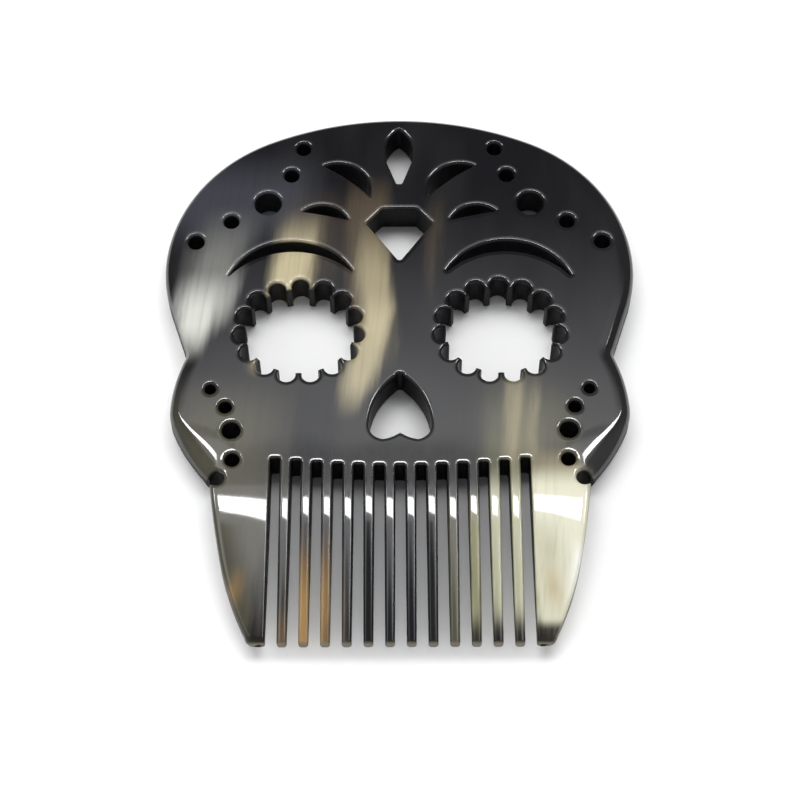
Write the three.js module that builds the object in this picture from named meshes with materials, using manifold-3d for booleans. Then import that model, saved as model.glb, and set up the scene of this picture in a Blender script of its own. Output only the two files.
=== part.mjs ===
// A beard comb cut from one flat horn plate in the outline of a plain sugar skull.
// Units are millimetres. The comb lies flat on z = 0 with its teeth pointing towards -Y.
// The real comb is one piece. Here it is one body that is parted into regions that touch on
// shared planes: the cranium, two halves of the face, two guard tines and twelve teeth.

import * as THREE from 'three';
import { mergeVertices } from 'three/addons/utils/BufferGeometryUtils.js';
import Module from 'manifold-3d';

// Plate
const LENGTH = 88;
const WIDTH = 70;
const THICKNESS = 5.2;
const CROWN_Y = LENGTH / 2;
const TIP_Y = -LENGTH / 2;
const EDGE_ROUND = 1.1;          // rounding of the outer edge
const EDGE_STEPS = 3;

// Taper of the tooth zone, the same on both faces
const TAPER_START_Y = -20.5;
const TAPER_BLEND = 6;           // length over which the flat face bends into the slope
const BLEND_STEPS = 4;
const TIP_THICKNESS = 1.5;

// Slots between the teeth
const TOOTH_COUNT = 12;
const PITCH = 2.95;
const SLOT_WIDTH = 1.4;
const SLOT_MOUTH = 1.6;          // the teeth narrow a little towards their tips
const SLOT_CORNER = 0.35;
const TIP_ROUND = 0.45;
const ROOT_Y = -17.4;            // slot end on the centre line
const ROOT_RADIUS = 135;         // the slot ends lie on this arc and rise outwards

// Planes where the regions are parted: below the slot ends, and between the brows and the eyes
const TOOTH_PARTING_Y = ROOT_Y - 0.5;
const BROW_PARTING_Y = 14.2;

// Eyes: an oval ringed by round lobes
const EYE_X = 14.7;
const EYE_Y = 5.05;
const LOBE_COUNT = 15;
const LOBE_RADIUS = 1.3;
const LOBE_RING_X = 8.35;
const LOBE_RING_Y = 7.6;
const EYE_OPEN_X = 7.95;
const EYE_OPEN_Y = 7.2;

// Round holes of the right half: x, y, diameter
const FOREHEAD_HOLES = [
  [14.7, 37.85, 2.2],
  [16.45, 32.85, 2.3],
  [19.9, 27.6, 4.0],
  [25.35, 24.3, 2.3],
  [30.5, 20.6, 2.4],
];
const CHEEK_HOLES = [
  [27.35, -4.95, 1.6],
  [25.1, -7.95, 1.9],
  [24.1, -11.75, 2.65],
  [23.8, -16.5, 2.1],
];
const JAW_NOTCH = [25.9, -19.4, 2.2];   // breaks out at the corner of the jaw

// Outlines are chains of arcs, each entry x, y, bulge. The bulge is the arc's height over half
// its chord, for the arc that arrives at the point: positive bows to the left of the travel.

// Right half of the skull from the crown to the tip of the guard tine
const SKULL_HALF = [
  [0, CROWN_Y, 0],
  [20.4, 39.5, 0.109],           // forehead
  [WIDTH / 2, 16.8, 0.285],      // side of the cranium
  [33.85, 9.45, 0.078],
  [31.35, 1.9, 0],               // temple
  [31.3, 0.7, -0.167],           // waist
  [33.1, -7.6, 0.085],
  [32.55, -10.8, 0.107],         // cheek
  [26.9, -19.6, 0.095],          // corner of the jaw
  [25.3, -30.35, 0.02],
  [21.3, -42.8, 0.067],          // guard tine
  [20.1, TIP_Y, 0.3],
  [0, TIP_Y, 0],
];
const BROW = [[7.1, 15.4, 0], [25.4, 14.6, 0.62], [7.1, 15.4, -0.43]];
const UPPER_LEAF = [[4.4, 28.8, 0], [11.4, 34.6, 0.62], [4.4, 28.8, -0.1]];
const LOWER_LEAF = [[7.8, 24.7, 0], [14.5, 26.2, 0.51], [7.8, 24.7, -0.03]];

// Cut-outs on the centre line, right half from the top down
const NOSE_HALF = [
  [0, -2.45, 0],
  [0.55, -2.8, 0.4],
  [4.45, -10.7, 0.22],
  [2.4, -13.15, 0.42],
  [0, -12.05, 0.12],
];
const GEM_HALF = [
  [0, 26.6, 0],
  [2.3, 26.6, 0],
  [2.75, 26.4, 0.2],
  [4.7, 24.2, 0],
  [4.75, 23.7, 0.36],
  [0.35, 17.6, 0],
  [0, 17.4, 0.25],
];
const FOREHEAD_DROP_HALF = [
  [0, 41.5, 0],
  [2.0, 36.9, 0.3],
  [1.9, 35.4, 0.12],
  [0.45, 31.5, 0],
  [0, 31.35, 0.2],
];

// Facet fineness: largest gap between an arc and its chords
const CHORD_GAP = 0.06;

// Points of a chain of arcs. The first point is included and a closing copy of it is left out.
function chainPoints(chain) {
  const points = [new THREE.Vector2(chain[0][0], chain[0][1])];
  for (let i = 1; i < chain.length; i++) {
    const from = points[points.length - 1];
    const to = new THREE.Vector2(chain[i][0], chain[i][1]);
    points.push(...arcPoints(from, to, chain[i][2]));
  }
  const closes = points[0].distanceTo(points[points.length - 1]) < 1e-6;
  return closes ? points.slice(0, -1) : points;
}

// Points of one arc after its start, up to and with its end.
function arcPoints(from, to, bulge) {
  if (bulge === 0) return [to];
  const half = from.distanceTo(to) / 2;
  const sweep = 4 * Math.atan(Math.abs(bulge));
  const radius = half / Math.sin(sweep / 2);
  const largestTurn = 2 * Math.acos(1 - Math.min(CHORD_GAP / radius, 0.3));
  const steps = Math.max(2, Math.ceil(sweep / largestTurn));
  const along = to.clone().sub(from).normalize();
  const left = new THREE.Vector2(-along.y, along.x).multiplyScalar(Math.sign(bulge));
  const middle = from.clone().add(to).multiplyScalar(0.5);
  const centre = middle.addScaledVector(left, -radius * Math.cos(sweep / 2));
  const points = [];
  for (let i = 1; i < steps; i++) {
    const angle = sweep * (i / steps - 0.5);
    const point = centre.clone().addScaledVector(along, radius * Math.sin(angle));
    points.push(point.addScaledVector(left, radius * Math.cos(angle)));
  }
  points.push(to);
  return points;
}

function mirrored(points) {
  return points.map((p) => new THREE.Vector2(-p.x, p.y));
}

// A closed outline from its right half, whose first and last points lie on the centre line.
function wholeOutline(halfChain) {
  const right = chainPoints(halfChain);
  const left = mirrored(right).reverse();
  return [...right, ...left.slice(1, -1)];
}

function oval(x, y, radiusX, radiusY, steps) {
  const points = [];
  for (let i = 0; i < steps; i++) {
    const angle = 2 * Math.PI * i / steps;
    points.push(new THREE.Vector2(x + radiusX * Math.cos(angle), y + radiusY * Math.sin(angle)));
  }
  return points;
}

function circle(x, y, diameter) {
  return oval(x, y, diameter / 2, diameter / 2, diameter > 3 ? 16 : 12);
}

// A slot runs from its squared root, with small round corners, out past the tips.
function slotOutline(x) {
  const rootY = ROOT_Y + x * x / (2 * ROOT_RADIUS);
  const rootHalf = SLOT_WIDTH / 2;
  const mouthHalf = SLOT_MOUTH / 2;
  const corner = Math.tan(Math.PI / 8);
  const chain = [
    [x - rootHalf + SLOT_CORNER, rootY, 0],
    [x + rootHalf - SLOT_CORNER, rootY, 0],
    [x + rootHalf, rootY - SLOT_CORNER, corner],
    [x + mouthHalf, TIP_Y + TIP_ROUND, 0],
    [x + mouthHalf + TIP_ROUND, TIP_Y, -corner],
    [x + mouthHalf + TIP_ROUND, TIP_Y - 1, 0],
    [x - mouthHalf - TIP_ROUND, TIP_Y - 1, 0],
    [x - mouthHalf - TIP_ROUND, TIP_Y, 0],
    [x - mouthHalf, TIP_Y + TIP_ROUND, -corner],
    [x - rootHalf, rootY - SLOT_CORNER, 0],
    [x - rootHalf + SLOT_CORNER, rootY, corner],
  ];
  return chainPoints(chain);
}

const wasm = await Module();
wasm.setup();

function toSolid(geometry) {
  const plain = geometry.clone();
  plain.deleteAttribute('normal');
  plain.deleteAttribute('uv');
  const merged = mergeVertices(plain, 1e-5);
  const vertProperties = new Float32Array(merged.attributes.position.array);
  const triVerts = new Uint32Array(merged.index.array);
  return new wasm.Manifold(new wasm.Mesh({ numProp: 3, vertProperties, triVerts }));
}

function toGeometry(solid) {
  const mesh = solid.getMesh();
  const geometry = new THREE.BufferGeometry();
  geometry.setAttribute('position', new THREE.BufferAttribute(mesh.vertProperties, 3));
  geometry.setIndex(new THREE.BufferAttribute(mesh.triVerts, 1));
  geometry.computeVertexNormals();
  return geometry;
}

// A straight cutter of the given outline that runs past both faces.
function cutter(points) {
  const shape = new THREE.Shape(points);
  const geometry = new THREE.ExtrudeGeometry(shape, { depth: THICKNESS + 2, bevelEnabled: false });
  return toSolid(geometry.translate(0, 0, -1));
}

// The plate's outside, without slots or holes, with its edge rounded inside the outline.
function plateBlank() {
  const geometry = new THREE.ExtrudeGeometry(new THREE.Shape(wholeOutline(SKULL_HALF)), {
    depth: THICKNESS - 2 * EDGE_ROUND,
    bevelThickness: EDGE_ROUND,
    bevelSize: EDGE_ROUND,
    bevelOffset: -EDGE_ROUND,
    bevelSegments: EDGE_STEPS,
  });
  return toSolid(geometry.translate(0, 0, EDGE_ROUND));
}

// How far each face has dropped at a place along the comb: flat, then a bend, then a slope.
function faceDrop(y) {
  const run = TAPER_START_Y - y;
  const slope = (THICKNESS - TIP_THICKNESS) / 2 / (TAPER_START_Y - TIP_Y - TAPER_BLEND / 2);
  if (run <= 0) return 0;
  if (run < TAPER_BLEND) return slope * run * run / (2 * TAPER_BLEND);
  return slope * (run - TAPER_BLEND / 2);
}

// The envelope that thins the tooth zone: its side view, extruded across the comb.
function taperEnvelope() {
  const stations = [CROWN_Y + 1];
  for (let i = 0; i <= BLEND_STEPS; i++) stations.push(TAPER_START_Y - TAPER_BLEND * i / BLEND_STEPS);
  stations.push(TIP_Y - 1);
  const top = stations.map((y) => new THREE.Vector2(y, THICKNESS - faceDrop(y)));
  const bottom = stations.map((y) => new THREE.Vector2(y, faceDrop(y))).reverse();
  const shape = new THREE.Shape([...top, ...bottom]);
  const geometry = new THREE.ExtrudeGeometry(shape, { depth: WIDTH + 2, bevelEnabled: false });
  geometry.translate(0, 0, -WIDTH / 2 - 1);
  const sideways = new THREE.Matrix4().makeBasis(
    new THREE.Vector3(0, 1, 0), new THREE.Vector3(0, 0, 1), new THREE.Vector3(1, 0, 0));
  return toSolid(geometry.applyMatrix4(sideways));
}

function eyeCutters(side) {
  const cutters = [cutter(oval(side * EYE_X, EYE_Y, EYE_OPEN_X, EYE_OPEN_Y, 45))];
  for (let i = 0; i < LOBE_COUNT; i++) {
    const angle = Math.PI / 2 + side * 2 * Math.PI * i / LOBE_COUNT;
    const x = side * EYE_X + LOBE_RING_X * Math.cos(angle);
    const y = EYE_Y + LOBE_RING_Y * Math.sin(angle);
    cutters.push(cutter(circle(x, y, 2 * LOBE_RADIUS)));
  }
  return cutters;
}

function sideCutters(side) {
  const place = (points) => (side > 0 ? points : mirrored(points));
  const shapes = [BROW, UPPER_LEAF, LOWER_LEAF].map(chainPoints);
  const rounds = [...FOREHEAD_HOLES, ...CHEEK_HOLES, JAW_NOTCH];
  const holes = rounds.map(([x, y, diameter]) => circle(x, y, diameter));
  return [...eyeCutters(side), ...[...shapes, ...holes].map((points) => cutter(place(points)))];
}

function slotX(index) {
  return PITCH * (index - TOOTH_COUNT / 2);
}

function combSolid() {
  const cutters = [...sideCutters(1), ...sideCutters(-1)];
  for (const half of [NOSE_HALF, GEM_HALF, FOREHEAD_DROP_HALF]) cutters.push(cutter(wholeOutline(half)));
  for (let i = 0; i <= TOOTH_COUNT; i++) cutters.push(cutter(slotOutline(slotX(i))));
  let solid = plateBlank().intersect(taperEnvelope());
  for (const shape of cutters) solid = solid.subtract(shape);
  return solid;
}

// The part of the comb inside a box given by its x and y limits.
function region(solid, lowX, highX, lowY, highY) {
  const box = new THREE.BoxGeometry(highX - lowX, highY - lowY, THICKNESS + 2);
  box.translate((lowX + highX) / 2, (lowY + highY) / 2, THICKNESS / 2);
  return solid.intersect(toSolid(box));
}

// Polished horn, nearly black in the cranium and paler towards the teeth
function horn(color) {
  return new THREE.MeshStandardMaterial({ color, roughness: 0.12, metalness: 0 });
}

function regionMesh(name, solid, color) {
  const mesh = new THREE.Mesh(toGeometry(solid), horn(color));
  mesh.name = name;
  return mesh;
}

// Amber teeth on the left, black ones in the middle and olive ones on the right
function toothColor(index) {
  if (index <= 3) return 0x8a6a3c;
  return index <= 8 ? 0x2c2c2e : 0x77745a;
}

const group = new THREE.Group();
const comb = combSolid();
const sideX = WIDTH / 2 + 1;
const aboveY = CROWN_Y + 1;
const belowY = TIP_Y - 1;
const outerSlotX = slotX(TOOTH_COUNT);
const faceRegion = (lowX, highX) => region(comb, lowX, highX, TOOTH_PARTING_Y, BROW_PARTING_Y);
const tineRegion = (lowX, highX) => region(comb, lowX, highX, belowY, TOOTH_PARTING_Y);
group.add(regionMesh('cranium', region(comb, -sideX, sideX, BROW_PARTING_Y, aboveY), 0x35363a));
group.add(regionMesh('face_left', faceRegion(-sideX, 0), 0x57574f));
group.add(regionMesh('face_right', faceRegion(0, sideX), 0x4b4b48));
group.add(regionMesh('guard_left', tineRegion(-sideX, -outerSlotX), 0x6f6b5c));
group.add(regionMesh('guard_right', tineRegion(outerSlotX, sideX), 0xb9b596));
for (let i = 1; i <= TOOTH_COUNT; i++) {
  const name = `tooth_${String(i).padStart(2, '0')}`;
  group.add(regionMesh(name, tineRegion(slotX(i - 1), slotX(i)), toothColor(i)));
}

export default group;
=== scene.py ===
import math

import bpy
import numpy as np
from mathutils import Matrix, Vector
from mathutils.geometry import delaunay_2d_cdt
from mathutils.kdtree import KDTree


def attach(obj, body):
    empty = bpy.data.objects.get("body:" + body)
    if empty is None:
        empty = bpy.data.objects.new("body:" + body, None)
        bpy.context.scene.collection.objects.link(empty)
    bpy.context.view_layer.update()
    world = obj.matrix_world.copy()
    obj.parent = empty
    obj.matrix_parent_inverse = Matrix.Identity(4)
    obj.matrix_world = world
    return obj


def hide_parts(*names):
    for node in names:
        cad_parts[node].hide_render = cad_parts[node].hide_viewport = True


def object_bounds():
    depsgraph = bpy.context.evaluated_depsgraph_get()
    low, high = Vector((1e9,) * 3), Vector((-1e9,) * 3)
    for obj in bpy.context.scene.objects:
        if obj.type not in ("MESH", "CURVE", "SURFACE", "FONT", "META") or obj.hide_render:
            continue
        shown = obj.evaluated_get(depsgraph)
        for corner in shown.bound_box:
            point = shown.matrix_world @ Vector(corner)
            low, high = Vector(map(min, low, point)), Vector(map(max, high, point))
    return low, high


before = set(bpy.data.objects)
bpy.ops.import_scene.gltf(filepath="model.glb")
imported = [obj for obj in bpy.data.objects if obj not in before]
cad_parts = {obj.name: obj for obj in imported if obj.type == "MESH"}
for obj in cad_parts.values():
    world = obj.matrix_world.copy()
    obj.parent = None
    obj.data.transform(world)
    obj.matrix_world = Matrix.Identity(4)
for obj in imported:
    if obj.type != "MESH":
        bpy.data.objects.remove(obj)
cad_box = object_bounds()

MM = 0.001

# ---------------------------------------------------------------- the comb's dimensions

low, high = cad_box
THICKNESS = (high.z - low.z) / MM
CROWN_Y = high.y / MM
TIP_Y = low.y / MM
SIDE_X = high.x / MM

# Taper of the tooth zone, the same on both faces
TAPER_START_Y = -20.5
TAPER_BLEND = 6.0
TIP_THICKNESS = 1.5

# Slots between the teeth
TOOTH_COUNT = 12
PITCH = 2.95
SLOT_HALF = 0.7
MOUTH_HALF = 0.8
SLOT_CORNER = 0.35
TIP_ROUND = 0.45
ROOT_Y = -17.4
ROOT_RADIUS = 135.0
SLOT_ZONE_TOP_Y = ROOT_Y + 2
QUARTER = math.tan(math.pi / 8)  # bulge of a quarter circle

# Eyes: an oval ringed by round lobes
EYE_X = 14.7
EYE_Y = 5.05
LOBE_COUNT = 15
LOBE_RADIUS = 1.3
LOBE_RING = np.array([8.35, 7.6])
EYE_OPEN = np.array([7.95, 7.2])

# Round holes of the right half: x, y, diameter
ROUND_HOLES = [
    (14.7, 37.85, 2.2),
    (16.45, 32.85, 2.3),
    (19.9, 27.6, 4.0),
    (25.35, 24.3, 2.3),
    (30.5, 20.6, 2.4),
    (27.35, -4.95, 1.6),
    (25.1, -7.95, 1.9),
    (24.1, -11.75, 2.65),
    (23.8, -16.5, 2.1),
]
NOTCH = np.array([25.9, -19.4])
NOTCH_RADIUS = 1.1

# Outlines are chains of arcs, each entry x, y, bulge. The bulge is the arc's height over half its
# chord, for the arc that arrives at the point: positive bows to the left of the travel.
SKULL_HALF = [
    (0, CROWN_Y, 0),
    (20.4, 39.5, 0.109),
    (SIDE_X, 16.8, 0.285),
    (33.85, 9.45, 0.078),
    (31.35, 1.9, 0),
    (31.3, 0.7, -0.167),
    (33.1, -7.6, 0.085),
    (32.55, -10.8, 0.107),
    (26.9, -19.6, 0.095),
    (25.3, -30.35, 0.02),
    (21.3, -42.8, 0.067),
    (20.1, TIP_Y, 0.3),
    (0, TIP_Y, 0),
]
BROW = [(7.1, 15.4, 0), (25.4, 14.6, 0.62), (7.1, 15.4, -0.43)]
UPPER_LEAF = [(4.4, 28.8, 0), (11.4, 34.6, 0.62), (4.4, 28.8, -0.1)]
LOWER_LEAF = [(7.8, 24.7, 0), (14.5, 26.2, 0.51), (7.8, 24.7, -0.03)]
NOSE_HALF = [(0, -2.45, 0), (0.55, -2.8, 0.4), (4.45, -10.7, 0.22), (2.4, -13.15, 0.42), (0, -12.05, 0.12)]
GEM_HALF = [
    (0, 26.6, 0),
    (2.3, 26.6, 0),
    (2.75, 26.4, 0.2),
    (4.7, 24.2, 0),
    (4.75, 23.7, 0.36),
    (0.35, 17.6, 0),
    (0, 17.4, 0.25),
]
DROP_HALF = [(0, 41.5, 0), (2.0, 36.9, 0.3), (1.9, 35.4, 0.12), (0.45, 31.5, 0), (0, 31.35, 0.2)]

# Polished edges: width of the rounding across the face, and how deep it goes
RIM_ROUND = 1.35
GUARD_ROUND = 0.55
SLOT_ROUND = 0.33
HOLE_ROUND = 0.42

# Where the guard's narrow rounding gives way to the cheek's wide one
GUARD_TO_CHEEK_Y = (-20.5, -18.5)

# The lower cheeks are buffed off in a long, flat slope that widens towards the notch and stops there
CHEEK_SLOPE_START_Y = -8.0
CHEEK_SLOPE_END_Y = -17.0
CHEEK_SLOPE_WIDTH = 3.4
CHEEK_SLOPE_DEPTH = 1.75
CHEEK_SLOPE_STOP_Y = (-20.0, -18.0)

# Polishing also leaves a shallow shoulder that runs on from each rounding into the flat face
SHOULDER_REACH = 1.9  # in roundings
SHOULDER_SLOPE = 0.16

# Hand filing, as shares of the taper's slope: a twist per mm across each guard and tooth, and the
# most by which a whole tooth is steeper or flatter than the taper
GUARD_MIDDLE_X = 22.0
GUARD_TWIST = 0.055
TOOTH_TWIST = 0.16
TOOTH_UNEVENNESS = 0.09
TOOTH_PHASE = 2.4  # radians from one tooth's unevenness to the next one's

# Fineness of the mesh
LINE_STEP = 0.6
ARC_STEP = math.radians(9)
FAN_STEP = math.radians(25)
CIRCLE_STEP = 0.25
CIRCLE_LEAST = 28
PILLAR_SHARES = (0.33, 0.67)
ROUNDING_RINGS = 6
SHOULDER_RINGS = 3
GRID_STEP = 0.9

# A ring's point is kept if no edge is nearer than this share of its distance from its own edge
NEAREST_SHARE = 0.97
# Least distance from every edge, for rings in roundings and for the grid in mm
RING_CLEARANCE = 0.02
GRID_CLEARANCE = SHOULDER_REACH * HOLE_ROUND + 0.1
# A point past its nearest edge by less than this is outside the material
OUTSIDE_REACH = 3.0
# Distances that count as none
ON_EDGE = 1e-4
SAME_PLACE = 0.01
MERGE_REACH = 1e-6
TRIANGLES_INSIDE = 1  # output type of delaunay_2d_cdt

# ---------------------------------------------------------------- outlines


def arc_points(start, end, bulge):
    """Points of one arc after its start, up to and with its end."""
    start, end = np.array(start, float), np.array(end, float)
    chord = end - start
    length = np.hypot(*chord)
    if bulge == 0:
        count = max(1, math.ceil(length / LINE_STEP))
        return [start + chord * k / count for k in range(1, count + 1)]
    sweep = 4 * math.atan(abs(bulge))
    radius = length / 2 / math.sin(sweep / 2)
    count = max(3, math.ceil(radius * sweep / LINE_STEP), math.ceil(sweep / ARC_STEP))
    along = chord / length
    left = np.array([-along[1], along[0]]) * math.copysign(1, bulge)
    centre = (start + end) / 2 - left * radius * math.cos(sweep / 2)
    angles = sweep * (np.arange(1, count + 1) / count - 0.5)
    return list(centre + radius * (np.outer(np.sin(angles), along) + np.outer(np.cos(angles), left)))


def chain_points(chain):
    """Points of a chain of arcs, without a closing copy of the first point."""
    points = [np.array(chain[0][:2], float)]
    for x, y, bulge in chain[1:]:
        points += arc_points(points[-1], (x, y), bulge)
    points = np.array(points)
    return points[:-1] if np.allclose(points[0], points[-1]) else points


def way_back(half):
    """The mirrored left half of a chain, travelled back to its start."""
    return [(-x, y, after[2]) for (x, y, _), after in zip(half[-2::-1], half[:0:-1])]


def slot_chain(x):
    """Up one wall of a slot, round its squared root and down the other wall to the next tooth's tip."""
    root_y = ROOT_Y + x * x / (2 * ROOT_RADIUS)
    return [
        (x + MOUTH_HALF + TIP_ROUND, TIP_Y, 0),
        (x + MOUTH_HALF, TIP_Y + TIP_ROUND, QUARTER),
        (x + SLOT_HALF, root_y - SLOT_CORNER, 0),
        (x + SLOT_HALF - SLOT_CORNER, root_y, -QUARTER),
        (x - SLOT_HALF + SLOT_CORNER, root_y, 0),
        (x - SLOT_HALF, root_y - SLOT_CORNER, -QUARTER),
        (x - MOUTH_HALF, TIP_Y + TIP_ROUND, 0),
        (x - MOUTH_HALF - TIP_ROUND, TIP_Y, QUARTER),
    ]


def bitten(loop, centre):
    """A loop with the notch's circle bitten out of it. The bite bows towards the comb's axis."""
    outside = np.hypot(*(loop - centre).T) > NOTCH_RADIUS
    entry = int(np.flatnonzero(outside & ~np.roll(outside, -1))[0])
    loop = np.roll(loop, -entry - 1, axis=0)
    outside = np.roll(outside, -entry - 1)
    kept = loop[outside]
    leave, enter = kept[-1] - centre, kept[0] - centre
    start, end = math.atan2(leave[1], leave[0]), math.atan2(enter[1], enter[0])
    inward = -math.pi if centre[0] > 0 else 0
    start += 2 * math.pi * round((inward - start) / (2 * math.pi))
    end += 2 * math.pi * round((inward - end) / (2 * math.pi))
    count = math.ceil(abs(end - start) / ARC_STEP)
    angles = start + (end - start) * (np.arange(count + 1)) / count
    arc = centre + NOTCH_RADIUS * np.column_stack([np.cos(angles), np.sin(angles)])
    return np.vstack([kept, arc])


def comb_outline():
    chain = list(SKULL_HALF[:-1])
    for i in range(TOOTH_COUNT, -1, -1):
        chain += slot_chain(PITCH * (i - TOOTH_COUNT / 2))
    guard_tip = SKULL_HALF[-2]
    chain.append((-guard_tip[0], guard_tip[1], 0))
    chain += way_back(SKULL_HALF[:-1])
    loop = chain_points(chain)
    for side in (1, -1):
        loop = bitten(loop, NOTCH * (side, 1))
    return loop


def circle(x, y, diameter):
    count = max(CIRCLE_LEAST, math.ceil(math.pi * diameter / CIRCLE_STEP))
    angles = 2 * math.pi * np.arange(count) / count
    return np.array([x, y]) + diameter / 2 * np.column_stack([np.cos(angles), np.sin(angles)])


def lobe_opening(centre, outward, side):
    """Angle from the outward direction at which a lobe's circle meets the eye's oval."""
    near, far = 0.0, math.pi
    for _ in range(40):
        angle = (near + far) / 2
        turned = outward + side * angle
        point = centre + LOBE_RADIUS * np.array([math.cos(turned), math.sin(turned)])
        if np.hypot(*(point / EYE_OPEN)) > 1:
            near = angle
        else:
            far = angle
    return near


def eye_outline(x):
    """An eye: round lobes joined by the short ends of the pillars between them."""
    arcs = []
    for k in range(LOBE_COUNT):
        angle = math.pi / 2 + 2 * math.pi * k / LOBE_COUNT
        centre = LOBE_RING * (math.cos(angle), math.sin(angle))
        outward = math.atan2(centre[1], centre[0])
        start = outward - lobe_opening(centre, outward, -1)
        end = outward + lobe_opening(centre, outward, 1)
        count = math.ceil((end - start) / ARC_STEP)
        turned = start + (end - start) * np.arange(count + 1) / count
        arcs.append(centre + LOBE_RADIUS * np.column_stack([np.cos(turned), np.sin(turned)]))
    points = []
    for arc, following in zip(arcs, arcs[1:] + arcs[:1]):
        points.append(arc)
        pillar = arc[-1] + np.outer(PILLAR_SHARES, following[0] - arc[-1])
        points.append(pillar / np.hypot(*(pillar / EYE_OPEN).T)[:, None])
    return np.array([x, EYE_Y]) + np.vstack(points)


def hole_outlines():
    loops = [chain_points(half + way_back(half)) for half in (NOSE_HALF, GEM_HALF, DROP_HALF)]
    for side in (1, -1):
        loops.append(eye_outline(side * EYE_X))
        loops += [circle(side * x, y, diameter) for x, y, diameter in ROUND_HOLES]
        loops += [chain_points(chain) * (side, 1) for chain in (BROW, UPPER_LEAF, LOWER_LEAF)]
    return loops


# ---------------------------------------------------------------- the comb's mesh


def area(loop):
    following = np.roll(loop, -1, axis=0)
    return np.sum(loop[:, 0] * following[:, 1] - loop[:, 1] * following[:, 0]) / 2


def turned_to(loop, counter_clockwise):
    return loop if (area(loop) > 0) == counter_clockwise else loop[::-1]


def smooth_step(value, start, end):
    share = np.clip((value - start) / (end - start), 0, 1)
    return share * share * (3 - 2 * share)


def in_slots(points):
    """Whether each point of the outline belongs to a slot or a tooth's tip."""
    zone_half = PITCH * TOOTH_COUNT / 2 + MOUTH_HALF + TIP_ROUND
    return (np.abs(points[:, 0]) < zone_half + SAME_PLACE) & (points[:, 1] < SLOT_ZONE_TOP_Y)


def in_notch(points):
    right = np.column_stack([np.abs(points[:, 0]), points[:, 1]])
    return np.hypot(*(right - NOTCH).T) < NOTCH_RADIUS + SAME_PLACE


def rim_rounding(y):
    """Width and depth of the rounding along the comb's outside."""
    width = GUARD_ROUND + (RIM_ROUND - GUARD_ROUND) * smooth_step(y, *GUARD_TO_CHEEK_Y)
    buffed = smooth_step(-y, -CHEEK_SLOPE_START_Y, -CHEEK_SLOPE_END_Y)
    buffed = buffed * smooth_step(y, *CHEEK_SLOPE_STOP_Y)
    depth = width + (CHEEK_SLOPE_DEPTH - RIM_ROUND) * buffed
    return width + (CHEEK_SLOPE_WIDTH - RIM_ROUND) * buffed, depth


def half_thickness(y):
    """Half the plate's thickness, and its slope along the comb."""
    slope = (THICKNESS - TIP_THICKNESS) / 2 / (TAPER_START_Y - TIP_Y - TAPER_BLEND / 2)
    run = np.clip(TAPER_START_Y - y, 0, None)
    bend = np.minimum(run, TAPER_BLEND)
    drop = slope * (bend * bend / (2 * TAPER_BLEND) + run - bend)
    return THICKNESS / 2 - drop, slope * bend / TAPER_BLEND


def filing(x):
    """How hand filing changes the taper's slope across each guard and tooth, as a share."""
    number = np.floor(x / PITCH)
    guard = -GUARD_TWIST * (x - np.sign(x) * GUARD_MIDDLE_X)
    tooth = TOOTH_UNEVENNESS * np.sin(TOOTH_PHASE * number) - TOOTH_TWIST * (x - PITCH * (number + 0.5))
    return np.where(np.abs(x) > PITCH * TOOTH_COUNT / 2, guard, tooth)


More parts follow.
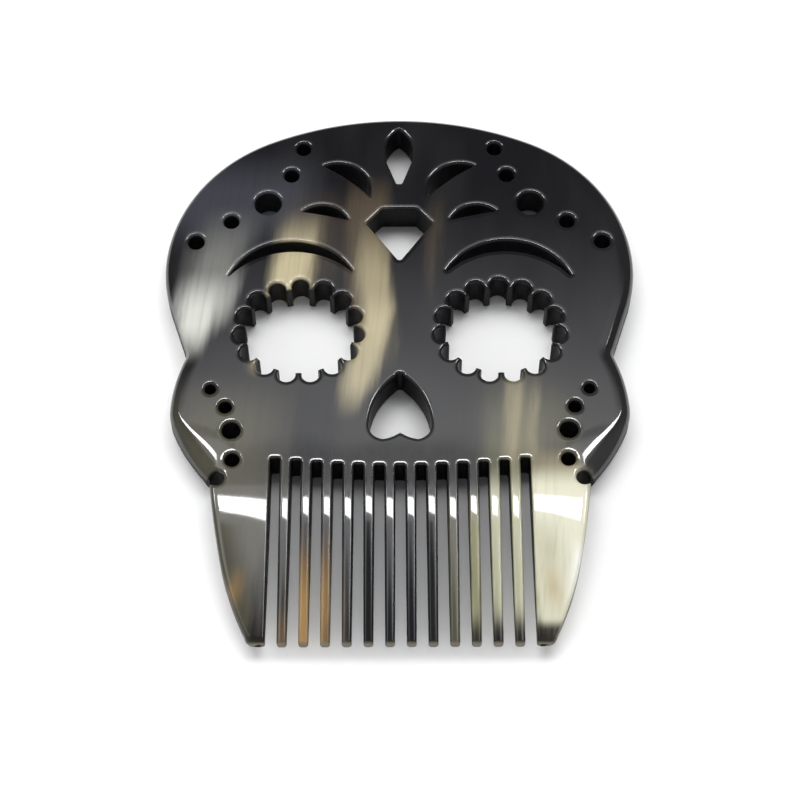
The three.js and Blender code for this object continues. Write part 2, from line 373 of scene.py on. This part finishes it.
class Edges:
    """Every outline of the comb, with the material on the left of the travel."""

    def __init__(self):
        loops = [turned_to(comb_outline(), True)] + [turned_to(loop, False) for loop in hole_outlines()]
        starts = np.cumsum([0] + [len(loop) for loop in loops])[:-1]
        self.points = np.vstack(loops)
        self.before = np.concatenate([s + np.roll(np.arange(len(l)), 1) for s, l in zip(starts, loops)])
        self.after = np.concatenate([s + np.roll(np.arange(len(l)), -1) for s, l in zip(starts, loops)])
        outside = (np.arange(len(self.points)) < len(loops[0])) & ~in_notch(self.points)
        slots = outside & in_slots(self.points)
        self.rim = outside & ~slots
        rim_width, rim_depth = rim_rounding(self.points[:, 1])
        cut_round = np.where(slots, SLOT_ROUND, HOLE_ROUND)
        self.width = np.where(self.rim, rim_width, cut_round)
        self.depth = np.where(self.rim, rim_depth, cut_round)
        travel = self.points[self.after] - self.points
        travel /= np.hypot(*travel.T)[:, None]
        self.inward = np.column_stack([-travel[:, 1], travel[:, 0]])
        middle = self.inward + self.inward[self.before]
        self.middle = middle / np.hypot(*middle.T)[:, None]
        self.trees = [self.tree_of(self.rim), self.tree_of(~self.rim)]

    def tree_of(self, chosen):
        chosen = np.flatnonzero(chosen)
        tree = KDTree(len(chosen))
        for i in chosen:
            tree.insert((*self.points[i], 0), int(i))
        tree.balance()
        return tree

    def rays(self):
        """Directions into the material: one at each point, and a fan of them at an inner corner."""
        rows = []
        for i in range(len(self.points)):
            arriving, leaving = self.inward[self.before[i]], self.inward[i]
            turn = math.atan2(arriving[0] * leaving[1] - arriving[1] * leaving[0], arriving @ leaving)
            count = 1 + int(-turn / FAN_STEP) if turn < 0 else 1
            if count == 1:
                rows.append((i, *self.middle[i]))
                continue
            first = math.atan2(arriving[1], arriving[0])
            for k in range(count + 1):
                angle = first + turn * k / count
                rows.append((i, math.cos(angle), math.sin(angle)))
        rows = np.array(rows)
        return rows[:, 0].astype(int), rows[:, 1:]

    def nearest(self, points, tree):
        """A tree's nearest edge: distance, direction, rounding, and whether each point is past it."""
        index = np.array([tree.find((x, y, 0))[1] for x, y in points])
        distance = np.full(len(points), np.inf)
        towards = -self.middle[index]
        width, depth = self.width[index].copy(), self.depth[index].copy()
        for other in (self.before[index], self.after[index]):
            start = self.points[index]
            side = self.points[other] - start
            share = np.clip(np.sum((points - start) * side, 1) / np.sum(side * side, 1), 0, 1)
            gap_vector = start + share[:, None] * side - points
            gap = np.hypot(*gap_vector.T)
            closer = gap < distance
            distance[closer] = gap[closer]
            aimed = closer & (gap > ON_EDGE)
            towards[aimed] = gap_vector[aimed] / gap[aimed, None]
            same_kind = closer & (self.rim[index] == self.rim[other])
            for value, table in ((width, self.width), (depth, self.depth)):
                mixed = table[index] + share * (table[other] - table[index])
                value[same_kind] = mixed[same_kind]
        outside = np.sum(towards * self.middle[index], 1) >= 0
        return distance, towards, width, depth, outside

    def clear_inside(self, points, clearance):
        """Whether each point lies in the material and clear of every edge."""
        clear = np.ones(len(points), bool)
        for tree in self.trees:
            distance, _, _, _, outside = self.nearest(points, tree)
            clear &= (distance > clearance) & ~(outside & (distance < OUTSIDE_REACH))
        return clear


def surface_points(edges):
    """Points of the upper face: rings inside each outline over its rounding, and a grid."""
    index, direction = edges.rays()
    turns = np.arange(1, ROUNDING_RINGS + 1) / ROUNDING_RINGS
    shares = [*(1 - np.cos(math.pi / 2 * turns)), *np.linspace(1, SHOULDER_REACH, SHOULDER_RINGS + 1)[1:]]
    clouds = []
    for share in shares:
        depth = share * edges.width[index]
        points = edges.points[index] + direction * depth[:, None]
        own = np.where(edges.rim[index], edges.nearest(points, edges.trees[0])[0], np.inf)
        cut = np.where(edges.rim[index], np.inf, edges.nearest(points, edges.trees[1])[0])
        nearest_own = np.minimum(own, cut) > NEAREST_SHARE * depth
        kept = nearest_own & edges.clear_inside(points, RING_CLEARANCE * edges.width[index])
        clouds.append(points[kept])
    x, y = np.meshgrid(np.arange(-SIDE_X, SIDE_X, GRID_STEP), np.arange(TIP_Y, CROWN_Y, GRID_STEP))
    x = x + (GRID_STEP / 2) * (np.arange(len(x)) % 2)[:, None]
    grid = np.column_stack([x.ravel(), y.ravel()])
    grid = grid[inside_material(edges, grid)]
    clouds.append(grid[edges.clear_inside(grid, GRID_CLEARANCE)])
    return np.vstack(clouds)


def inside_material(edges, points):
    """Whether each point lies in the material: a line from it towards +X crosses an odd number of edges."""
    start, end = edges.points, edges.points[edges.after]
    crossings = np.zeros(len(points), int)
    for (x1, y1), (x2, y2) in zip(start, end):
        if y1 != y2:
            spans = (points[:, 1] < y1) != (points[:, 1] < y2)
            crossings += spans & (points[:, 0] < x1 + (points[:, 1] - y1) * (x2 - x1) / (y2 - y1))
    return crossings % 2 == 1


def plan_mesh(edges):
    """Points of the upper face seen from above, and the triangles between them."""
    cloud = surface_points(edges)
    points = [Vector(p) for p in np.vstack([edges.points, cloud])]
    outlines = list(zip(range(len(edges.points)), edges.after.tolist()))
    points, _, faces, _, _, _ = delaunay_2d_cdt(points, outlines, [], TRIANGLES_INSIDE, MERGE_REACH)
    plan = np.array(points)[:, :2]
    faces = np.array(faces)
    on_edge = np.minimum(*[edges.nearest(plan, tree)[0] for tree in edges.trees]) < ON_EDGE
    doubtful = np.flatnonzero(on_edge[faces].all(axis=1))
    middles = plan[faces[doubtful]].mean(axis=1)
    open_space = doubtful[~inside_material(edges, middles)]
    return plan, np.delete(faces, open_space, axis=0).tolist()


def comb_mesh():
    edges = Edges()
    plan, faces = plan_mesh(edges)

    half, slope = half_thickness(plan[:, 1])
    slope = slope * (1 + filing(plan[:, 0]))
    height, fall = half, np.column_stack([np.zeros(len(plan)), -slope])
    steepest = np.ones(len(plan))
    for tree in edges.trees:
        distance, towards, width, depth, _ = edges.nearest(plan, tree)
        lean = np.clip(1 - distance / width, 0, 1)
        rise = np.sqrt(1 - lean * lean)
        reach = SHOULDER_REACH * width
        shoulder = np.clip(1 - distance / reach, 0, 1)
        height = height - depth * (1 - rise) - SHOULDER_SLOPE * reach / 2 * shoulder * shoulder
        steep = depth / width * lean + SHOULDER_SLOPE * shoulder * rise
        fall = fall * rise[:, None] + towards * (steep * steepest)[:, None]
        steepest = steepest * rise
    normal = np.column_stack([fall, steepest])
    normal /= np.linalg.norm(normal, axis=1)[:, None]

    count = len(plan)
    upper = np.column_stack([plan, THICKNESS / 2 + height])
    lower = np.column_stack([plan, THICKNESS / 2 - height])
    borders = {}
    for face in faces:
        for a, b in zip(face, face[1:] + face[:1]):
            if (b, a) in borders:
                del borders[b, a]
            else:
                borders[a, b] = True
    walls = [(a, a + count, b + count, b) for a, b in borders]
    backs = [[i + count for i in reversed(face)] for face in faces]
    mesh = bpy.data.meshes.new("horn_comb")
    mesh.from_pydata((np.vstack([upper, lower]) * MM).tolist(), [], faces + backs + walls)
    mesh.shade_smooth()
    mesh.normals_split_custom_set_from_vertices(np.vstack([normal, normal * (1, 1, -1)]).tolist())
    return mesh


# ---------------------------------------------------------------- materials


def tone(*steps):
    """A colour given as red, green and blue in the 0 to 255 steps of a screen, as linear light."""
    shares = [step / 255 for step in steps]
    return tuple(s / 12.92 if s <= 0.04 else ((s + 0.055) / 1.055) ** 2.4 for s in shares)


class Recipe:
    """Adds shader nodes and wires them. A value is a plain number or another node's socket."""

    def __init__(self, tree):
        self.tree = tree
        tree.nodes.clear()

    def add(self, kind, inputs, **settings):
        node = self.tree.nodes.new("ShaderNode" + kind)
        for name, value in settings.items():
            setattr(node, name, value)
        for key, value in inputs.items():
            if isinstance(value, bpy.types.NodeSocket):
                self.tree.links.new(value, node.inputs[key])
            else:
                node.inputs[key].default_value = value
        return node

    def maths(self, operation, *values):
        return self.add("Math", dict(enumerate(values)), operation=operation).outputs[0]

    def step(self, value, start, end):
        """0 before start, 1 after end and smooth between. It falls instead if start is larger."""
        inputs = {"Value": value, "From Min": start, "From Max": end}
        return self.add("MapRange", inputs, interpolation_type="SMOOTHSTEP").outputs[0]

    def range(self, value, start, end, low, high):
        inputs = {"Value": value, "From Min": start, "From Max": end, "To Min": low, "To Max": high}
        return self.add("MapRange", inputs).outputs[0]

    def mix(self, share, first, second):
        first = (*first, 1) if isinstance(first, tuple) else first
        second = (*second, 1) if isinstance(second, tuple) else second
        return self.add("Mix", {0: share, 6: first, 7: second}, data_type="RGBA").outputs[2]

    def stretched(self, vector, scale):
        return self.add("Mapping", {"Vector": vector, "Scale": scale}).outputs[0]

    def noise(self, vector, scale, detail=4.0, roughness=0.55):
        """Noise from 0 to 1, with the scale in features per unit along each axis."""
        inputs = {
            "Vector": self.stretched(vector, scale),
            "Scale": 1.0,
            "Detail": detail,
            "Roughness": roughness,
        }
        return self.add("TexNoise", inputs).outputs[0]


BLACK_HORN = tone(20, 20, 23)
GREY_HORN = tone(46, 46, 45)
SLATE_HORN = tone(62, 63, 70)
OLIVE_HORN = tone(84, 81, 64)
OLIVE_GREEN = tone(150, 148, 116)
CREAM = tone(188, 177, 143)
DULL_CREAM = tone(157, 147, 117)
# Cream horn, made paler by painted reflection
GUARD_CREAM_AND_SHEEN = tone(208, 206, 182)
TOOTH_CREAM = tone(178, 177, 150)
# Colour of a painted highlight
PAINTED_HIGHLIGHT_WHITE = tone(226, 228, 226)
PALE_GREY = tone(200, 201, 193)
BROWN = tone(84, 73, 60)
AMBER = tone(158, 126, 80)
DARK_TIP = tone(26, 23, 20)
# Painted shade: near black laid on the walls of the slots, holes and edges
PAINTED_WALL_SHADE = tone(12, 12, 13)
TOOTH_END = tone(120, 113, 98)

# Grain of the horn, in features per mm across, along and through the plate
GRAIN_SLANT = math.radians(5)
FIBRES = (0.45, 0.05, 0.4)
FINE_LINES = (1.6, 0.06, 1.2)
DRIFTS = (0.10, 0.05, 0.1)
CLOUDS = (0.16, 0.04, 0.3)
WANDER = 3.0  # mm by which fibres, and drifts too, shift a streak

# Relief of the polished faces, in features per mm and metres
WAVES = (0.10, 0.05, 0.1)
WAVE_HEIGHT = 0.0001
SCRATCHES = (6.0, 1.2, 3.0)
SCRATCH_DEPTH = 0.00001

# Coloured streaks in the horn, with a painted highlight and a painted reflection on the right guard,
# painted in this order: colour, strength, the axis as x = x0 + slope (y - y0) + bend (y - y0)^2, half
# width, softness, lower and upper end, fade, and the share of the width that is lost towards both ends
STREAKS = [
    (GREY_HORN, 0.8, (0, 0, 0, 0), 60, 4, -60, -4, 12, 0),
    (OLIVE_HORN, 0.6, (-25, -10, 0, 0), 7, 4, -60, -6, 5, 0),
    (OLIVE_HORN, 0.6, (19, -12, -0.05, 0), 6, 3, -60, -6, 4, 0),
    (SLATE_HORN, 0.85, (-24, 28, 0, 0), 10.5, 4, 22, 34, 5, 0),
    (OLIVE_GREEN, 0.2, (16.6, -14, 0.05, 0), 4.2, 2.5, -20, -8, 7, 0),
    (BROWN, 0.35, (-13.2, 20, 0.08, 0), 4.2, 1.8, 13, 28, 4, 0.5),
    (CREAM, 0.92, (-15.8, 16, 0.14, 0), 2.9, 1.4, 9, 22, 5.5, 0.6),
    (BROWN, 0.85, (-4.6, 8, -0.06, 0.003), 3.2, 1.2, 5, 30, 4, 0.4),
    (DULL_CREAM, 0.85, (-3.5, 8, -0.06, 0.003), 2.4, 1.4, 3, 20, 6, 0.4),
    (CREAM, 0.75, (-3.7, 8, 0.14, -0.006), 2.2, 1.1, -7, 9, 4, 0.5),
    (BROWN, 0.4, (5.4, 20, 0.05, 0), 0.9, 0.9, 12, 27, 5, 0.6),
    (BLACK_HORN, 0.85, (-12.0, -9, 0.1, 0), 3.2, 1.6, -18, -6, 4, 0.2),
    (PALE_GREY, 1.0, (-29.8, 8, 0.13, 0), 3.2, 1.7, 2.5, 12, 4, 0.85),
    (PALE_GREY, 0.27, (-27.4, 16, 0.24, 0), 3.4, 2.5, 8, 22, 6, 0.8),
    (PALE_GREY, 0.30, (-24.8, 11, 0.14, 0), 1.2, 1.0, 7, 14, 3, 0.7),
    (DULL_CREAM, 0.6, (16.8, -8, 0.06, 0), 1.1, 1.1, -18, -3, 4, 0.3),
    (DULL_CREAM, 0.4, (19.4, -8, 0.08, 0), 0.6, 0.8, -18, -5, 4, 0.3),
    (DULL_CREAM, 0.6, (22.6, -18, 0, 0), 3.4, 1.6, -22, -16, 2, 0),
    (DULL_CREAM, 0.55, (-21.0, -1, 0.1, 0), 0.9, 0.8, -2, 0, 1.5, 0.5),
    # The right guard's own cream horn, made paler by painted reflection
    (GUARD_CREAM_AND_SHEEN, 0.95, (22.8, -20, 0, 0), 4.4, 1.0, -42, -19, 2, 0),
    (TOOTH_CREAM, 0.85, (15.2, -20, 0, 0), 2.9, 1.0, -40.5, -20, 3, 0),
    (OLIVE_GREEN, 0.8, (10.4, -20, 0, 0), 1.2, 1.0, -42, -24, 4, 0),
    (OLIVE_HORN, 0.8, (7.3, -20, 0, 0), 1.0, 0.9, -60, -24, 4, 0),
    # Painted highlight along the right guard's outer side
    (PAINTED_HIGHLIGHT_WHITE, 0.7, (24.4, -33, 0.13, 0), 0.9, 0.9, -37, -30, 2, 0.4),
    (OLIVE_GREEN, 0.4, (21.0, -31, 0.05, 0), 1.4, 1.2, -33, -28, 3, 0.4),
    (BLACK_HORN, 0.9, (-1.9, -20, 0, 0), 6.8, 0.6, -60, -19, 2, 0),
    (AMBER, 0.9, (-12.0, -30, 0, 0), 2.7, 1.2, -60, -33, 7, 0),
    (AMBER, 0.25, (-16.2, -40, 0, 0), 0.8, 0.6, -60, -40, 3, 0),
    (BROWN, 0.6, (-9.0, -36, 0, 0), 1.4, 0.8, -60, -33, 6, 0),
    (AMBER, 0.5, (-23.0, -36, 0.05, 0), 0.9, 1.2, -38, -34, 2.5, 0.4),
    (AMBER, 0.5, (21.2, -36, 0, 0), 1.1, 1.3, -38, -34, 2.5, 0.4),
    (DARK_TIP, 1.0, (-18.3, -36, 0.12, 0), 1.8, 0.9, -60, -32, 5, 0),
    (DARK_TIP, 0.85, (-21, -44, 0, 0), 3.4, 1, -60, -43, 2.5, 0),
    (DARK_TIP, 0.85, (14, -40, 0, 0), 5, 1, -60, -41.5, 2, 0),
    (DARK_TIP, 0.92, (21, -44, 0, 0), 4, 1, -60, -41.3, 0.9, 0),
]


def streak_mask(r, x, y, axis, half, soft, bottom, top, fade, taper):
    x0, y0, slope, bend = axis
    run = r.maths("SUBTRACT", y, y0)
    bent = r.maths("MULTIPLY_ADD", run, bend, slope)
    centre = r.maths("MULTIPLY_ADD", run, bent, x0)
    aside = r.maths("ABSOLUTE", r.maths("SUBTRACT", x, centre))
    length = (top - bottom) / 2 + fade
    share = r.range(y, bottom - fade, bottom - fade + length, -1, 0)
    lost = r.maths("MULTIPLY", r.maths("MULTIPLY", share, share), taper * half)
    here = r.maths("SUBTRACT", half, lost)
    across = r.step(aside, r.maths("ADD", here, soft), r.maths("SUBTRACT", here, soft))
    above = r.step(y, bottom - fade, bottom + fade)
    below = r.step(y, top + fade, top - fade)
    return r.maths("MULTIPLY", across, r.maths("MULTIPLY", above, below))


def horn_material():
    material = bpy.data.materials.new("polished_horn")
    material.use_nodes = True
    r = Recipe(material.node_tree)
    coordinates = r.add("TexCoord", {}).outputs
    place = r.stretched(coordinates["Object"], (1 / MM,) * 3)
    x, y, _ = r.add("SeparateXYZ", {0: place}).outputs
    _, _, facing = r.add("SeparateXYZ", {0: coordinates["Normal"]}).outputs
    on_face = r.step(r.maths("ABSOLUTE", facing), 0.1, 0.9)
    # Mask of the walls: it paints shade into their colour and also makes them dull
    wall_shade_and_dullness = r.step(r.maths("ABSOLUTE", facing), 0.35, 0.1)

    slanted = r.add("Mapping", {"Vector": place, "Rotation": (0, 0, GRAIN_SLANT)}).outputs[0]
    fibre = r.noise(slanted, FIBRES, 4.0, 0.55)
    lines = r.noise(slanted, FINE_LINES, 3.0, 0.5)
    drift = r.noise(place, DRIFTS, 2.0, 0.5)
    cloud = r.noise(slanted, CLOUDS, 2.0, 0.5)
    wander = r.maths("MULTIPLY_ADD", r.maths("SUBTRACT", fibre, 0.5), WANDER, x)
    wander = r.maths("MULTIPLY_ADD", r.maths("SUBTRACT", drift, 0.5), WANDER, wander)

    colour = r.mix(r.range(cloud, 0.4, 0.7, 0.0, 0.3), BLACK_HORN, GREY_HORN)
    # Painted shade: the streaks fade out on the walls, which leaves them dark
    depth = r.range(on_face, 0, 1, 0.12, 1.0)
    grain_and_wall_shade = r.maths("MULTIPLY", depth, r.range(lines, 0.3, 0.6, 0.78, 1.0))
    for shade, strength, *shape in STREAKS:
        mask = streak_mask(r, wander, y, *shape)
        share = r.maths("MULTIPLY", r.maths("MULTIPLY", mask, grain_and_wall_shade), strength)
        colour = r.mix(share, colour, shade)
    colour = r.mix(r.range(lines, 0.45, 0.8, 0.0, 0.16), colour, BLACK_HORN)
    # Painted shade: the walls are darkened towards near black
    colour = r.mix(r.maths("MULTIPLY", wall_shade_and_dullness, 0.8), colour, PAINTED_WALL_SHADE)
    ends = r.step(y, TIP_Y + TIP_ROUND, TIP_Y)
    colour = r.mix(r.maths("MULTIPLY", ends, 0.75), colour, TOOTH_END)

    waves = r.noise(place, WAVES, 1.0, 0.4)
    waviness = r.add("Bump", {"Strength": 0.5, "Distance": WAVE_HEIGHT, "Height": waves})
    scratches = r.noise(place, SCRATCHES, 3.0, 0.6)
    fine = r.add("Bump", {"Strength": 0.04, "Distance": SCRATCH_DEPTH, "Height": scratches})
    r.tree.links.new(waviness.outputs[0], fine.inputs["Normal"])
    polish = r.range(scratches, 0.3, 0.7, 0.03, 0.07)
    rough = r.maths("MULTIPLY_ADD", wall_shade_and_dullness, 0.45, polish)
    shine = r.range(wall_shade_and_dullness, 0, 1, 0.5, 0.15)
    inputs = {
        "Base Color": colour,
        "Roughness": rough,
        "IOR": 1.54,
        "Specular IOR Level": shine,
        "Normal": fine.outputs[0],
    }
    shader = r.add("BsdfPrincipled", inputs)
    r.add("OutputMaterial", {"Surface": shader.outputs[0]})
    return material


def floor_material():
    material = bpy.data.materials.new("pale_floor")
    material.use_nodes = True
    r = Recipe(material.node_tree)
    place = r.add("TexCoord", {}).outputs["Object"]
    mottle = r.noise(place, (30.0, 30.0, 30.0), 5.0, 0.6)
    colour = r.mix(mottle, tone(243, 243, 243), tone(247, 247, 246))
    rough = r.range(mottle, 0.3, 0.7, 0.75, 0.85)
    shader = r.add("BsdfPrincipled", {"Base Color": colour, "Roughness": rough, "Specular IOR Level": 0.2})
    r.add("OutputMaterial", {"Surface": shader.outputs[0]})
    return material


# ---------------------------------------------------------------- pieces

FLOOR_HALF = 3.0  # metres


def make_comb():
    comb = bpy.data.objects.new("horn_comb", comb_mesh())
    bpy.context.scene.collection.objects.link(comb)
    comb.data.materials.append(horn_material())
    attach(comb, "root")
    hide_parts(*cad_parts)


def make_floor():
    signs = [(-1, -1), (1, -1), (1, 1), (-1, 1)]
    corners = [(x * FLOOR_HALF, y * FLOOR_HALF, 0) for x, y in signs]
    mesh = bpy.data.meshes.new("floor")
    mesh.from_pydata(corners, [], [(0, 1, 2, 3)])
    floor = bpy.data.objects.new("floor", mesh)
    bpy.context.scene.collection.objects.link(floor)
    floor.data.materials.append(floor_material())


# ---------------------------------------------------------------- light and camera

AIM = Vector((0, -6.95, THICKNESS)) * MM
CAMERA_DISTANCE = 300.07 * MM
CAMERA_ELEVATION = math.radians(60)
CAMERA_AZIMUTH = math.radians(-0.2)
FOCAL_LENGTH = 94.05
SENSOR_WIDTH = 36.0

# Strength of the sky in front and at the back, the glow added to it and the share left in its gap
FRONT_LIGHT = 0.25
BACK_LIGHT = 0.9
BACK_DARK = 0.08
GLOW = 1.6
GAP_LIGHT = 0.45

# Elevations in degrees between which each part of the sky at the back comes in or goes out
DARK_BELOW = (61, 54)
DARK_ABOVE = (73, 75)
GLOW_RISE = (54, 65)
GLOW_FALL = (75.5, 73)
GAP_RISE = (60.9, 61.3)
GAP_FALL = (62.6, 61.9)
BACK_START = (0.08, 0.25)  # Y of the heading

# Softboxes: name, azimuth and elevation in degrees, distance, width and height in metres, radiance.
# The first three show only in polished surfaces, and the others light only dull ones.
MIRRORED_LIGHTS = [
    ("band", 180, 69.7, 1.0, 0.26, 0.090, 30.0),
    ("left_side", -136, 60, 0.9, 0.15, 0.13, 26.0),
    ("right_side", 134, 60, 0.9, 0.20, 0.14, 26.0),
]
SHADING_LIGHTS = [
    ("overhead", 180, 63.5, 1.0, 1.3, 0.62, 3.15),
    ("left_fill", -90, 20, 1.0, 1.4, 0.6, 3.4),
    ("right_fill", 90, 20, 1.0, 1.4, 0.6, 2.2),
    ("back_fill", 180, 22, 1.0, 1.4, 0.6, 1.0),
    ("front_fill", 0, 16, 1.0, 1.4, 0.5, 1.2),
]


def direction(azimuth, elevation):
    """Unit vector at an azimuth from -Y towards +X and an elevation above the floor."""
    level = math.cos(elevation)
    return Vector((math.sin(azimuth) * level, -math.cos(azimuth) * level, math.sin(elevation)))


def softbox(mirrored, name, azimuth, elevation, distance, width, height, radiance):
    """A rectangular light that faces the comb: it shows in polished surfaces or lights dull ones."""
    light = bpy.data.lights.new(name, "AREA")
    light.shape = "RECTANGLE"
    light.size = width
    light.size_y = height
    light.energy = radiance * math.pi * width * height
    lamp = bpy.data.objects.new(name, light)
    bpy.context.scene.collection.objects.link(lamp)
    lamp.visible_diffuse = not mirrored
    lamp.visible_glossy = mirrored
    outward = direction(math.radians(azimuth), math.radians(elevation))
    lamp.location = AIM + outward * distance
    lamp.rotation_mode = "QUATERNION"
    lamp.rotation_quaternion = outward.to_track_quat("Z", "Y")


def make_lights():
    for row in MIRRORED_LIGHTS:
        softbox(True, *row)
    for row in SHADING_LIGHTS:
        softbox(False, *row)


def by_elevation(r, z, elevations):
    """A smooth step between two elevations, from the height z of the heading."""
    first, last = (math.sin(math.radians(elevation)) for elevation in elevations)
    return r.step(z, first, last)


def make_world():
    """A dim studio. At the back it is dark low down and high up, with a glow and a thin gap between."""
    world = bpy.data.worlds.new("studio")
    bpy.context.scene.world = world
    world.use_nodes = True
    r = Recipe(world.node_tree)
    heading = r.add("TexCoord", {}).outputs["Generated"]
    _, y, z = r.add("SeparateXYZ", {0: heading}).outputs
    at_back = r.step(y, *BACK_START)
    low_or_high = r.maths("ADD", by_elevation(r, z, DARK_BELOW), by_elevation(r, z, DARK_ABOVE))
    glow = r.maths("MULTIPLY", by_elevation(r, z, GLOW_RISE), by_elevation(r, z, GLOW_FALL))
    gap = r.maths("MULTIPLY", by_elevation(r, z, GAP_RISE), by_elevation(r, z, GAP_FALL))
    back = r.maths("MULTIPLY_ADD", glow, GLOW, r.range(low_or_high, 0, 1, BACK_LIGHT, BACK_DARK))
    back = r.maths("MULTIPLY", back, r.range(gap, 0, 1, 1, GAP_LIGHT))
    strength = r.maths("MULTIPLY_ADD", at_back, r.maths("SUBTRACT", back, FRONT_LIGHT), FRONT_LIGHT)
    background = r.add("Background", {"Color": (0.97, 0.975, 1, 1), "Strength": strength})
    r.add("OutputWorld", {"Surface": background.outputs[0]})


def make_camera():
    camera = bpy.data.objects.new("camera", bpy.data.cameras.new("camera"))
    bpy.context.scene.collection.objects.link(camera)
    camera.data.sensor_width = SENSOR_WIDTH
    camera.data.lens = FOCAL_LENGTH
    camera.data.clip_start = 0.01
    outward = direction(CAMERA_AZIMUTH, CAMERA_ELEVATION)
    camera.location = AIM + outward * CAMERA_DISTANCE
    camera.rotation_mode = "QUATERNION"
    camera.rotation_quaternion = (-outward).to_track_quat("-Z", "Y")
    bpy.context.scene.camera = camera


make_comb()
make_floor()
make_lights()
make_world()
make_camera()
bpy.context.scene.view_settings.view_transform = "Standard"
